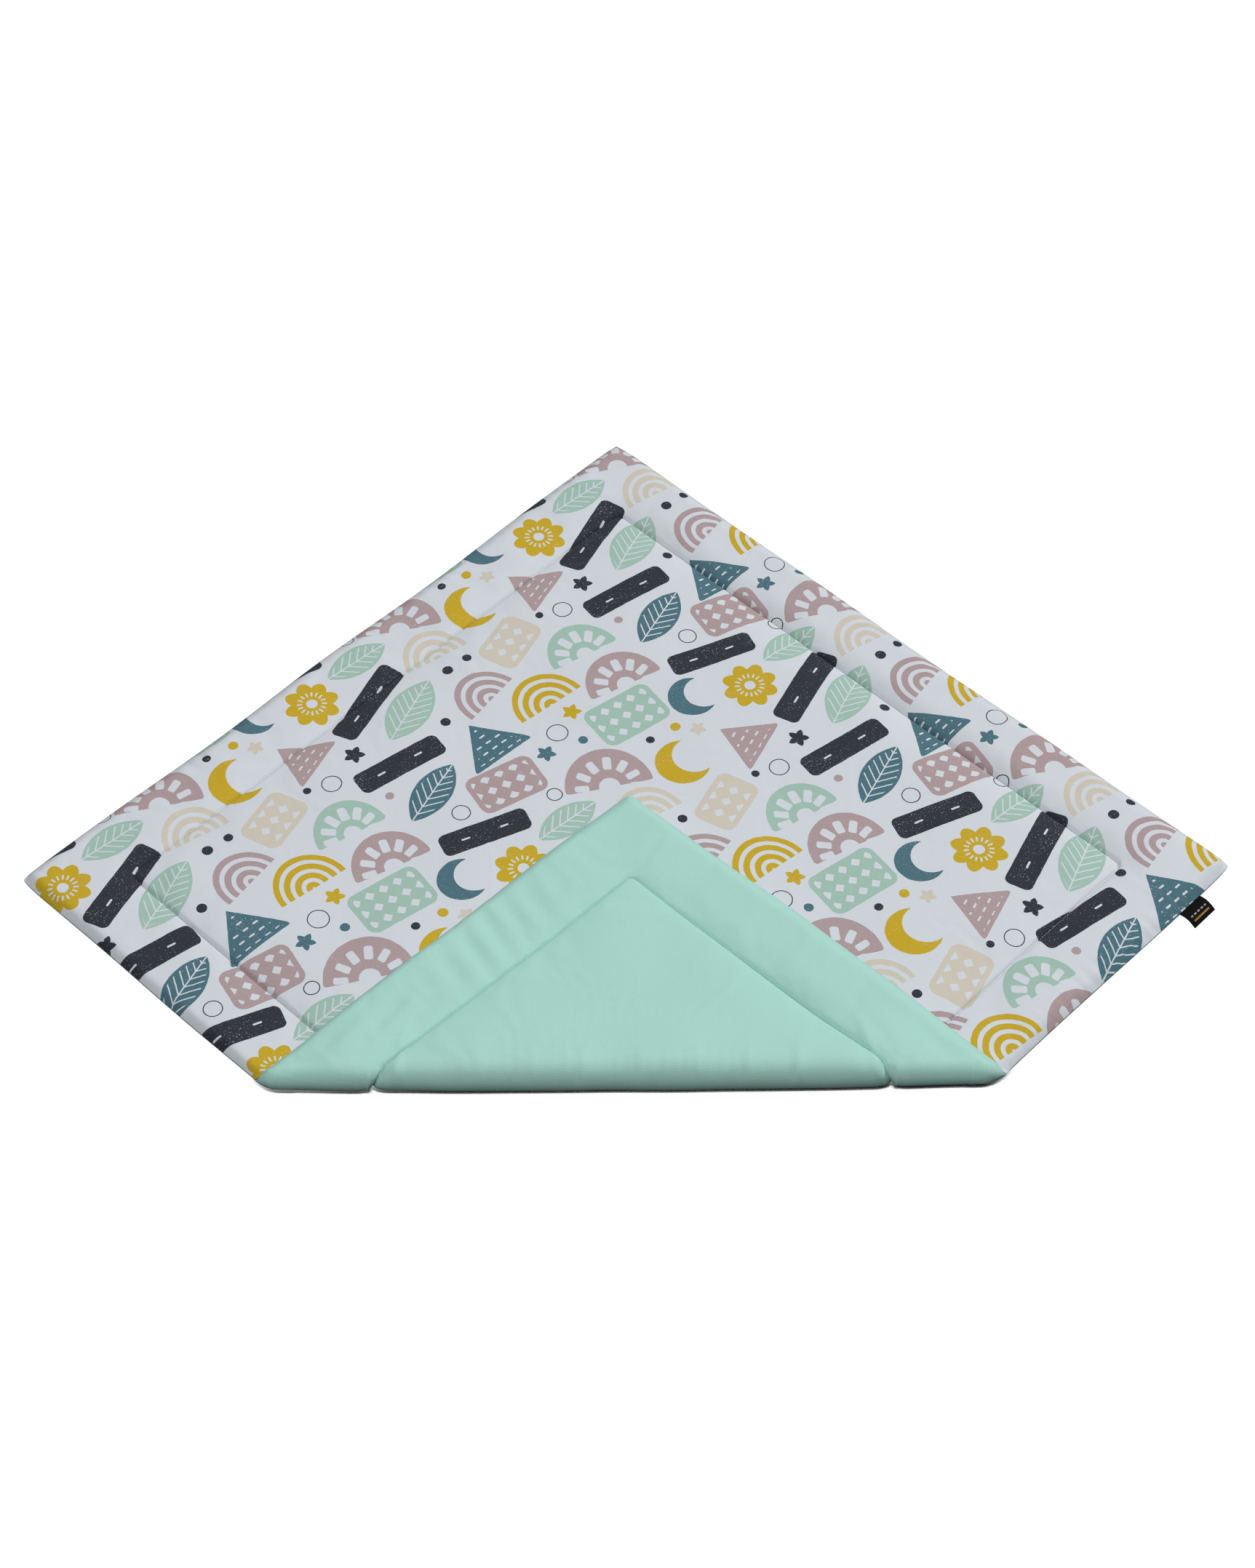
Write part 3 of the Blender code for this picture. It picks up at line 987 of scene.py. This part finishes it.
def layOutPrint():
    # the motifs start anywhere and push each other apart, then the marks fill the widest spaces
    chance = np.random.default_rng(printTile["seed"])
    places = chance.uniform(0.0, 1.0, (len(motifs), 2)) * tileSize
    turns = np.radians(chance.uniform(-printTile["tilt"], printTile["tilt"], len(motifs)))
    tiltLimit = math.radians(printTile["mostTilt"])
    for _ in range(printTile["rounds"]):
        points, radii, owners = motifBeads(places, turns)
        between = wrapped(points[:, None] - points[None])
        apart = np.linalg.norm(between, axis=2) + 1e-9  # never nought, as it divides below
        overlap = np.maximum(radii[:, None] + radii[None] + printTile["gap"] - apart, 0.0)
        overlap[owners[:, None] == owners[None]] = 0.0
        push = (between / apart[..., None] * overlap[..., None]).sum(axis=1)
        arm = wrapped(points - places[owners])
        twist = arm[:, 0] * push[:, 1] - arm[:, 1] * push[:, 0]
        for index in range(len(motifs)):
            places[index] += printTile["push"] * push[owners == index].sum(axis=0)
            turned = printTile["twist"] * twist[owners == index].sum()
            turns[index] += np.clip(turned, -printTile["mostTwist"], printTile["mostTwist"])
        turns = np.clip(turns, -tiltLimit, tiltLimit)
    rows = []
    for row, place, turn in zip(motifs, places % tileSize, turns):
        rows.append({**row, "x": float(place[0]), "y": float(place[1]), "turn": float(turn)})
    points, radii, _ = motifBeads(places, turns)
    spots = np.meshgrid(*[np.arange(0.0, size, printTile["spotStep"]) for size in tileSize])
    spots = np.stack(spots, axis=-1).reshape(-1, 2)
    for row in marks:
        free = (np.linalg.norm(wrapped(spots[:, None] - points[None]), axis=2) - radii).min(axis=1)
        best = free.argmax()
        size = float(min(2.0 * (free[best] - printTile["markGap"]), row["most"]))
        turn = float(chance.uniform(-printTile["markTurn"], printTile["markTurn"]))
        x, y = spots[best].tolist()
        rows.append({**row, "width": size, "height": size, "x": x, "y": y, "turn": turn})
        points, radii = np.append(points, [spots[best]], axis=0), np.append(radii, size / 2)
    return rows


def makeSpotGroup():
    # a cloth point, as seen from the middle of the nearest copy of a motif
    group, given, result = newGroup(
        "motifSpot",
        [("Point", "Vector", None), ("Place", "Vector", None), ("Turn", "Float", 0.0)],
        [("Local", "Vector")],
    )
    width, height = printTile["width"] / 2, printTile["height"] / 2
    offset = calculateVector("SUBTRACT", given[0], given[1])
    near = calculateVector("WRAP", offset, (width, height, 1.0), (-width, -height, -1.0))
    inputs = {"Vector": near, "Angle": given[2]}
    turned = addNode(group, "ShaderNodeVectorRotate", inputs, rotation_type="Z_AXIS")
    feed(result[0], turned.outputs[0])
    return group


def makeShapeGroup(name, drawing):
    # every shape puts out a distance that is negative inside, and one for its pale details
    group, given, result = newGroup(
        "motif" + name.capitalize(),
        [("Local", "Vector", None), ("Width", "Float", 0.08), ("Height", "Float", 0.05)],
        [("Distance", "Float"), ("Detail", "Float")],
    )
    x, y, _ = splitVector(given[0])
    distance, detail = drawing(x, y, given[1], given[2], drawn[name])
    feed(result[0], distance)
    feed(result[1], detail)
    return group


def lengthOf(x, y):
    return calculate("SQRT", plus(times(x, x), times(y, y)))


def roundedBox(x, y, halfWidth, halfHeight, corner):
    overX = plus(minus(sizeOf(x), halfWidth), corner)
    overY = plus(minus(sizeOf(y), halfHeight), corner)
    outside = lengthOf(most(overX, 0.0), most(overY, 0.0))
    return minus(plus(outside, least(most(overX, overY), 0.0)), corner)


def halfOf(value):
    return times(value, 0.5)


def repeated(value, step):
    # distance to the nearest of evenly spaced lines
    return sizeOf(calculate("WRAP", value, step / 2, -step / 2))


def softMost(first, second, soft):
    return calculate("SMOOTH_MAX", first, second, soft)


def archShape(x, y, width, height):
    # how far a point is above the foot, from its middle, and outside the round outline
    lifted = plus(y, halfOf(height))
    radius = lengthOf(x, times(lifted, over(halfOf(width), height)))
    return lifted, radius, minus(radius, halfOf(width))


# Sizes inside each shape, in metres, or as shares of its width
drawn = {
    "hill": {"soft": 0.008, "rayTurn": 0.13, "rayStep": 0.52, "rayAt": 0.31, "ray": (0.0052, 0.0095, 0.003),
             "core": 0.12},
    "bar": {"corner": 0.009, "dashAt": 0.22, "dash": (0.0060, 0.0014, 0.0012)},
    "leaf": {"rib": 0.0009, "veinStep": 0.0135, "vein": 0.0012, "margin": 0.0042},
    "flower": {"petals": 8, "petalDepth": 0.26, "slope": 0.7, "eye": 0.10, "seedAt": 0.22,
               "seed": (0.0012, 0.0036, 0.001)},
    "moon": {"biteAt": 0.26, "bite": 0.40, "soft": 0.003},
    "peak": {"slope": 0.8, "soft": 0.010, "rowStep": 0.0130, "dashStep": 0.0080,
             "dash": (0.0042, 0.0014, 0.0012), "margin": 0.0060},
    "tile": {"corner": 0.014, "cell": 0.0105, "diamond": 0.0072, "margin": 0.0075},
    "arches": {"bandAt": 0.0105, "bandStep": 0.0135, "band": 0.0028},
    "ring": {"line": 0.0007},
    "star": {"points": 5, "drawnIn": 0.74, "slope": 0.8},
    "dot": {},
}
noDetail = 1.0


def drawHill(x, y, width, height, row):
    # a round hill with pale rays, its foot flat
    lifted, radius, outline = archShape(x, y, width, height)
    body = softMost(outline, times(lifted, -1.0), row["soft"])
    angle = plus(calculate("ARCTAN2", lifted, x), row["rayTurn"])
    along = sizeOf(minus(radius, times(width, row["rayAt"])))
    rays = roundedBox(times(repeated(angle, row["rayStep"]), radius), along, *row["ray"])
    return body, least(rays, minus(radius, times(width, row["core"])))


def drawBar(x, y, width, height, row):
    # a long brushed bar with two pale dashes
    body = roundedBox(x, y, halfOf(width), halfOf(height), row["corner"])
    aside = minus(sizeOf(x), times(width, row["dashAt"]))
    return body, roundedBox(aside, y, *row["dash"])


def drawLeaf(x, y, width, height, row):
    # two arcs that meet in a point, with a pale rib and side veins
    squares = plus(calculate("POWER", halfOf(width), 2.0), calculate("POWER", halfOf(height), 2.0))
    radius = over(squares, height)
    body = minus(lengthOf(x, plus(sizeOf(y), minus(radius, halfOf(height)))), radius)
    veins = minus(repeated(minus(x, sizeOf(y)), row["veinStep"]), row["vein"])
    veins = most(veins, plus(body, row["margin"]))
    return body, least(minus(sizeOf(y), row["rib"]), veins)


def drawFlower(x, y, width, height, row):
    # round petals about a pale eye and a ring of pale seeds
    angle, radius = calculate("ARCTAN2", y, x), lengthOf(x, y)
    wave = sizeOf(calculate("COSINE", times(angle, row["petals"] / 2)))
    reach = times(blend(wave, row["petalDepth"], 1.0 - row["petalDepth"]), halfOf(width))
    eye = minus(radius, times(width, row["eye"]))
    off = sizeOf(minus(radius, times(width, row["seedAt"])))
    seeds = roundedBox(times(repeated(angle, math.pi / row["petals"]), radius), off, *row["seed"])
    return times(minus(radius, reach), row["slope"]), least(eye, seeds)


def drawMoon(x, y, width, height, row):
    # a crescent
    aside = minus(x, times(width, row["biteAt"]))
    bite = minus(times(height, row["bite"]), lengthOf(aside, y))
    return softMost(minus(lengthOf(x, y), halfOf(width)), bite, row["soft"]), noDetail


def drawPeak(x, y, width, height, row):
    # a rounded triangle with pale rows of dashes
    lifted = plus(y, halfOf(height))
    side = blend(lifted, over(halfOf(width), height), sizeOf(x))
    side = times(minus(side, halfOf(width)), row["slope"])
    body = softMost(side, times(lifted, -1.0), row["soft"])
    rowOff = minus(calculate("WRAP", lifted, row["rowStep"], 0.0), row["rowStep"] / 2)
    dashOff = calculate("WRAP", x, row["dashStep"], -row["dashStep"])
    return body, most(roundedBox(dashOff, rowOff, *row["dash"]), plus(body, row["margin"]))


def drawTile(x, y, width, height, row):
    # a soft square with rows of pale diamonds
    body = roundedBox(x, y, halfOf(width), halfOf(height), row["corner"])
    cellX, cellY = [calculate("WRAP", value, row["cell"], -row["cell"]) for value in (x, y)]
    diamond = minus(plus(sizeOf(cellX), sizeOf(cellY)), row["diamond"])
    return body, most(diamond, plus(body, row["margin"]))


def drawArches(x, y, width, height, row):
    # bands of a low arch, pale between
    lifted, _, outline = archShape(x, y, width, height)
    bands = minus(repeated(plus(outline, row["bandAt"]), row["bandStep"]), row["band"])
    return most(outline, times(lifted, -1.0)), bands


def drawDot(x, y, width, height, row):
    return minus(lengthOf(x, y), halfOf(width)), noDetail


def drawRing(x, y, width, height, row):
    off = minus(lengthOf(x, y), halfOf(width))
    return minus(sizeOf(off), row["line"]), noDetail


def drawStar(x, y, width, height, row):
    # a few points, their sides drawn in
    folded = repeated(calculate("ARCTAN2", x, y), math.tau / row["points"])
    reach = times(blend(folded, -row["drawnIn"], 1.0), halfOf(width))
    return times(minus(lengthOf(x, y), reach), row["slope"]), noDetail


drawings = {
    "hill": drawHill, "bar": drawBar, "leaf": drawLeaf, "moon": drawMoon, "peak": drawPeak,
    "tile": drawTile, "arches": drawArches, "ring": drawRing, "dot": drawDot, "star": drawStar,
    "flower": drawFlower,
}


def makeInkGroup():
    # an ink over the cloth inside a shape, with its details left pale and the cloth speckling through
    group, given, result = newGroup(
        "inkLayer",
        [("Under", "Color", None), ("Ink", "Color", None), ("Distance", "Float", 1.0),
         ("Detail", "Float", 1.0), ("Speckle", "Float", 0.0), ("Blur", "Float", printTile["edgeBlur"])],
        [("Colour", "Color")],
    )
    inside = minus(0.5, over(given[2], given[5]), use_clamp=True)
    solid = plus(0.5, over(given[3], given[5]), use_clamp=True)
    cover = times(times(inside, solid), minus(1.0, given[4]))
    feed(result[0], mixColour(cover, given[0], given[1]))
    return group


def makePrintGroup():
    # the whole repeat, from a flat cloth coordinate in metres
    group, given, result = newGroup("nurseryPrint", [("Point", "Vector", None)], [("Colour", "Color")])
    spot, ink = makeSpotGroup(), makeInkGroup()
    shapes = {name: makeShapeGroup(name, drawing) for name, drawing in drawings.items()}
    hand = noise(given[0], **brush["wobble"])
    shaken = calculateVector("SUBTRACT", hand[1], (0.5, 0.5, 0.5))
    shaken = scaledBy(shaken, printTile["wobble"])
    point = calculateVector("ADD", given[0], shaken)
    fine = noise(given[0], **brush["flecks"])
    patchy = noise(given[0], **brush["worn"])
    worn = blend(patchy[0], brush["wornChange"], brush["wornLevel"])
    flecks = times(minus(fine[0], worn), brush["sharpness"], use_clamp=True)
    speckle = times(flecks, brush["strength"])
    colour = inks["ground"]
    for row in layOutPrint():
        middle = (row["x"], row["y"], 0.0)
        local = placeGroup(group, spot, {"Point": point, "Place": middle, "Turn": -row["turn"]})[0]
        sizes = {"Local": local, "Width": row["width"], "Height": row["height"]}
        shape = placeGroup(group, shapes[row["shape"]], sizes)
        layer = {"Under": colour, "Ink": inks[row["ink"]], "Distance": shape[0], "Detail": shape[1]}
        colour = placeGroup(group, ink, {**layer, "Speckle": speckle})[0]
    feed(result[0], colour)
    return group


cotton = {
    "threads": 1000.0,
    "patches": 0.03,
    "bump": 0.55,
    "bumpDepth": 0.00022,
    "sheen": 0.03,
    "sheenSpread": 0.5,
    "shine": 0.12,
}


def newMaterial(name):
    material = bpy.data.materials.new(name)
    material.use_nodes = True
    return material, material.node_tree, material.node_tree.nodes["Principled BSDF"]


def addBump(tree, height, look):
    inputs = {"Height": height, "Strength": look["bump"], "Distance": look["bumpDepth"]}
    return addNode(tree, "ShaderNodeBump", inputs).outputs[0]


def makeCloth(name, grain, colour=None):
    # the printed cloth takes its colour from the print, and the plain one is given its own
    material, tree, shader = newMaterial(name)
    point = addNode(tree, "ShaderNodeUVMap", uv_map="cloth").outputs[0]
    colour = colour or placeGroup(tree, makePrintGroup(), {"Point": point})[0]
    weave = placeGroup(tree, weaveGroup, {"Point": point, "Threads per metre": cotton["threads"]})
    tones = {"Weave tone": weave[1], "Grain": grain, "Patches": cotton["patches"]}
    handled = placeGroup(tree, handlingGroup, {"Point": point, "Colour": colour, **tones})
    setShader(shader, {
        "Base Color": handled[0],
        "Roughness": handled[1],
        "Normal": addBump(tree, weave[0], cotton),
        "Sheen Weight": cotton["sheen"],
        "Sheen Roughness": cotton["sheenSpread"],
        "Specular IOR Level": cotton["shine"],
    })
    return material


threadLook = {
    "twist": {"scale": 2600.0, "detail": 2.0},
    # painted groove shade: the colour follows the twist bump and is darker in its low parts
    "tone": 0.80,
    "grooveShade": 0.30,
    "bump": 0.5,
    "bumpDepth": 0.0001,
    "roughness": 0.6,
}


def makeThreadMaterial(name, colour):
    material, tree, shader = newMaterial(name)
    point = addNode(tree, "ShaderNodeTexCoord").outputs["Object"]
    twist = noise(point, **threadLook["twist"])[0]
    # painted shade: the thread is darker where its twist bump is low
    tone = blend(twist, threadLook["grooveShade"], threadLook["tone"])
    setShader(shader, {
        "Base Color": scaledBy(colour[:3], tone),
        "Normal": addBump(tree, twist, threadLook),
        "Roughness": threadLook["roughness"],
    })
    return material


tagWeave = {
    "ribsPerMetre": 1900.0,
    "pickShare": 0.7,
    "pickHeight": 0.6,
    "middle": 0.0205,
    "markedHalf": 0.0150,
    "stripeAt": 0.0062,
    "stripeHalf": 0.0011,
    "dashAt": 0.0120,
    "dashStep": 0.0034,
    "dash": (0.0021, 0.0010, 0.0005),
    "blur": 0.0003,
    # painted shade: the ribbon's colour is darker in the low parts of its ribs
    "tone": 0.9,
    "grooveShade": 0.08,
    "bump": 0.6,
    "bumpDepth": 0.00015,
    "roughness": 0.7,
    "shine": 0.12,
    "black": linear(4, 4, 5),
    "gold": linear(168, 128, 62),
    "grey": linear(170, 170, 168),
}


def makeTagMaterial():
    # black ribbon, with a plain gold stripe and a row of pale dashes woven in
    material, tree, shader = newMaterial("wovenTag")
    point = addNode(tree, "ShaderNodeUVMap", uv_map="cloth").outputs[0]
    x, y, _ = splitVector(point)
    ribs = math.tau * tagWeave["ribsPerMetre"]
    rib = calculate("SINE", times(x, ribs))
    pick = calculate("SINE", times(y, ribs * tagWeave["pickShare"]))
    height = plus(rib, times(pick, tagWeave["pickHeight"]))
    aside = minus(x, tagWeave["middle"])
    marked = calculate("LESS_THAN", minus(sizeOf(aside), tagWeave["markedHalf"]), 0.0)
    stripe = minus(sizeOf(minus(y, tagWeave["stripeAt"])), tagWeave["stripeHalf"])
    dashX = calculate("WRAP", aside, tagWeave["dashStep"], -tagWeave["dashStep"])
    dash = roundedBox(dashX, minus(y, tagWeave["dashAt"]), *tagWeave["dash"])
    colour = tagWeave["black"]
    for shape, ink in ((stripe, "gold"), (dash, "grey")):
        cover = times(minus(0.5, over(shape, tagWeave["blur"]), use_clamp=True), marked)
        colour = mixColour(cover, colour, tagWeave[ink])
    setShader(shader, {
        # painted shade in the rib troughs, from the weave height
        "Base Color": scaledBy(colour, blend(height, tagWeave["grooveShade"], tagWeave["tone"])),
        "Normal": addBump(tree, height, tagWeave),
        "Roughness": tagWeave["roughness"],
        "Specular IOR Level": tagWeave["shine"],
    })
    return material


printedPanel.data.materials.append(makeCloth("printedCotton", 0.10))
plainPanel.data.materials.append(makeCloth("plainCotton", 0.12, plainMint))
printedThread.data.materials.append(makeThreadMaterial("greyThread", linear(190, 195, 200)))
plainThread.data.materials.append(makeThreadMaterial("mintThread", linear(158, 200, 190)))
sideTag.data.materials.append(makeTagMaterial())
print("materials: made")

slots = (
    (printedPanel, "printed_cotton"),
    (plainPanel, "plain_cotton"),
    (printedThread, "printed_cotton"),
    (plainThread, "plain_cotton"),
    (sideTag, "woven_tag"),
)
for piece, slot in slots:
    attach(piece, "root")
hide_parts("printed_panel")
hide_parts("plain_panel")
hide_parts("side_tag")

# Studio: a white floor with a painted contact shadow in front of the fold, a soft light from behind on the
# right, a broad one above

white = (1.0, 1.0, 1.0, 1.0)
studio = {
    "floorSize": 14.0,
    "floorDrop": 0.0004,
    # the floor's own colour is near black: it bounces little light, and the camera sees it only in the
    # painted contact shadow, where the glow is cut
    "floorColour": (0.03, 0.03, 0.03, 1.0),
    "floorRoughness": 0.9,
    "floorGlow": 1.0,
    # painted contact shadow: how near the mat must be, how sharp the line is, and where it starts in front
    # of the fold
    "paintedShadowReach": 0.0065,
    "paintedShadowSamples": 8,
    "paintedShadowSharpness": 7.0,
    "paintedShadowLevel": -5.2,
    "paintedShadowStart": 0.43,
    "paintedShadowEnds": 30.0,
    "worldStrength": 0.12,
    "key": {"at": (10.9, -1.9, 7.5), "size": 3.0, "power": 1060.0},
    "fill": {"at": (-5.8, -2.2, 10.2), "size": 3.0, "power": 480.0},
    "top": {"at": (-0.6, 1.2, 11.0), "size": 6.0, "power": 270.0},
}


def buildFloor():
    bm = bmesh.new()
    bmesh.ops.create_grid(bm, x_segments=1, y_segments=1, size=studio["floorSize"] / 2)
    bmesh.ops.translate(bm, verts=bm.verts[:], vec=(0.0, 0.0, -studio["floorDrop"]))
    floor = addObject("studioFloor", bm)
    material, tree, shader = newMaterial("studioFloor")
    # painted contact shadow: in front of the fold the floor stays dark where it meets the mat, because its
    # white glow is cut where ambient occlusion finds the mat close and its near-black colour shows; it is
    # plain white elsewhere
    seen = addNode(tree, "ShaderNodeLightPath").outputs["Is Camera Ray"]
    reach, samples = {"Distance": studio["paintedShadowReach"]}, studio["paintedShadowSamples"]
    near = addNode(tree, "ShaderNodeAmbientOcclusion", reach, samples=samples).outputs["AO"]
    x, y, _ = splitVector(addNode(tree, "ShaderNodeTexCoord").outputs["Object"])
    behind = plus(plus(x, y), studio["paintedShadowStart"])
    behind = blend(behind, studio["paintedShadowEnds"], 1.0, use_clamp=True)
    # painted shadow: the glow is cut where the mat is close
    outsidePaintedShadow = blend(near, studio["paintedShadowSharpness"], studio["paintedShadowLevel"], use_clamp=True)
    glow = times(times(seen, most(outsidePaintedShadow, behind)), studio["floorGlow"])
    setShader(shader, {
        "Base Color": studio["floorColour"],
        "Roughness": studio["floorRoughness"],
        "Emission Color": white,
        "Emission Strength": glow,
    })
    floor.data.materials.append(material)
    return floor


def addLight(name, values):
    light = bpy.data.lights.new(name, "AREA")
    light.shape = "DISK"
    light.size = values["size"]
    light.energy = values["power"]
    holder = bpy.data.objects.new(name, light)
    bpy.context.scene.collection.objects.link(holder)
    holder.location = values["at"]
    holder.rotation_euler = (-Vector(values["at"])).to_track_quat("-Z", "Y").to_euler()
    return holder


buildFloor()
addLight("keyLight", studio["key"])
addLight("fillLight", studio["fill"])
addLight("topLight", studio["top"])
world = bpy.data.worlds.new("studioWorld")
world.use_nodes = True
seenWorld = addNode(world.node_tree, "ShaderNodeLightPath").outputs["Is Camera Ray"]
worldLight = most(seenWorld, studio["worldStrength"])
setShader(world.node_tree.nodes["Background"], {"Color": white, "Strength": worldLight})
bpy.context.scene.world = world
bpy.context.scene.view_settings.view_transform = "Standard"

# Camera: over the folded corner, looking down at the mat's diagonal

view = {
    "aimRight": 0.0026,
    "aimBack": 0.1537,
    "distance": 4.2243,
    "azimuth": math.radians(-46.76),
    "elevation": math.radians(50.78),
    "roll": math.radians(0.717),
    "lens": 73.61,
}


def addCamera():
    data = bpy.data.cameras.new("camera")
    data.lens = view["lens"]
    camera = bpy.data.objects.new("camera", data)
    bpy.context.scene.collection.objects.link(camera)
    aimX, aimY = toRight * view["aimRight"] + toBack * view["aimBack"]
    tilt = Matrix.Rotation(math.pi / 2 - view["elevation"], 4, "X")
    turn = Matrix.Rotation(view["azimuth"], 4, "Z") @ tilt
    back = turn @ Vector((0.0, 0.0, view["distance"]))
    turn = turn @ Matrix.Rotation(view["roll"], 4, "Z")
    camera.matrix_world = Matrix.Translation(Vector((aimX, aimY, 0.0)) + back) @ turn
    bpy.context.scene.camera = camera
    return camera


addCamera()
print("studio and camera: set")
